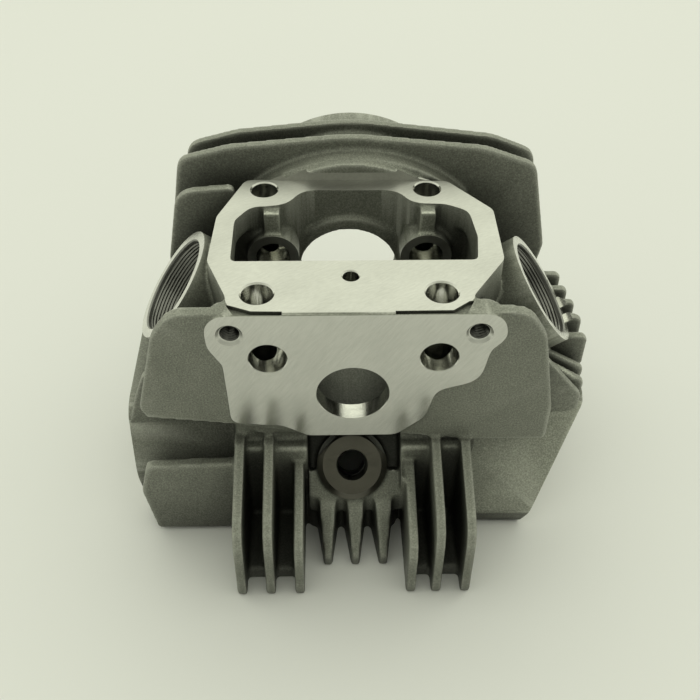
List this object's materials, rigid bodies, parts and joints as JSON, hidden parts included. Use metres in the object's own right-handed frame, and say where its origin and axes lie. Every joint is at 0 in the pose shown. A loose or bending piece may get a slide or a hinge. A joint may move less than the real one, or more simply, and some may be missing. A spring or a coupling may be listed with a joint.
{
  "type": "cylinder head",
  "caption": "Air-cooled engine cylinder head casting with rocker room, cam bore, chain room, ports, cooling fins and both sprung poppet valves.",
  "frame": {"origin": "middle of the part's box in plan, on the deck plane it stands on", "axes": "+Z from the deck to the top cover face, +X to the intake side, +Y to the chain side"},
  "size_m": [0.1484, 0.1276, 0.1013],
  "materials": {
    "head_casting": "as-cast grey with bright machined faces",
    "intake_valve_seat": "machined",
    "intake_valve_guide": "turned",
    "intake_guide_clip": "oiled",
    "intake_stem_seal": "matt",
    "intake_spring_seat": "machined",
    "intake_outer_spring": "oiled",
    "intake_inner_spring": "oiled",
    "exhaust_valve_seat": "machined",
    "exhaust_valve_guide": "turned",
    "exhaust_guide_clip": "oiled",
    "exhaust_stem_seal": "matt",
    "exhaust_spring_seat": "machined",
    "exhaust_outer_spring": "oiled",
    "exhaust_inner_spring": "oiled",
    "intake_valve": "ground",
    "intake_spring_retainer": "machined",
    "intake_collet_a": "machined",
    "intake_collet_b": "machined",
    "exhaust_valve": "ground",
    "exhaust_spring_retainer": "machined",
    "exhaust_collet_a": "machined",
    "exhaust_collet_b": "machined"
  },
  "bodies": {
    "head": {"head_casting": "head_casting", "intake_valve_seat": "intake_valve_seat", "intake_valve_guide": "intake_valve_guide", "intake_guide_clip": "intake_guide_clip", "intake_stem_seal": "intake_stem_seal", "intake_spring_seat": "intake_spring_seat", "intake_outer_spring": "intake_outer_spring", "intake_inner_spring": "intake_inner_spring", "exhaust_valve_seat": "exhaust_valve_seat", "exhaust_valve_guide": "exhaust_valve_guide", "exhaust_guide_clip": "exhaust_guide_clip", "exhaust_stem_seal": "exhaust_stem_seal", "exhaust_spring_seat": "exhaust_spring_seat", "exhaust_outer_spring": "exhaust_outer_spring", "exhaust_inner_spring": "exhaust_inner_spring"},
    "intake_valve_assembly": {"intake_valve": "intake_valve", "intake_spring_retainer": "intake_spring_retainer", "intake_collet_a": "intake_collet_a", "intake_collet_b": "intake_collet_b"},
    "exhaust_valve_assembly": {"exhaust_valve": "exhaust_valve", "exhaust_spring_retainer": "exhaust_spring_retainer", "exhaust_collet_a": "exhaust_collet_a", "exhaust_collet_b": "exhaust_collet_b"}
  },
  "joints": [
    {"name": "intake_valve_lift", "type": "slide", "parent": "head", "child": "intake_valve_assembly", "axis": [-0.5, 0, -0.866], "range_m": [0, 0.006], "stiffness_N_per_m": 400, "springref_m": -0.01, "deforming": ["intake_outer_spring", "intake_inner_spring"]},
    {"name": "exhaust_valve_lift", "type": "slide", "parent": "head", "child": "exhaust_valve_assembly", "axis": [0.5, 0, -0.866], "range_m": [0, 0.006], "stiffness_N_per_m": 400, "springref_m": -0.01, "deforming": ["exhaust_outer_spring", "exhaust_inner_spring"]}
  ]
}
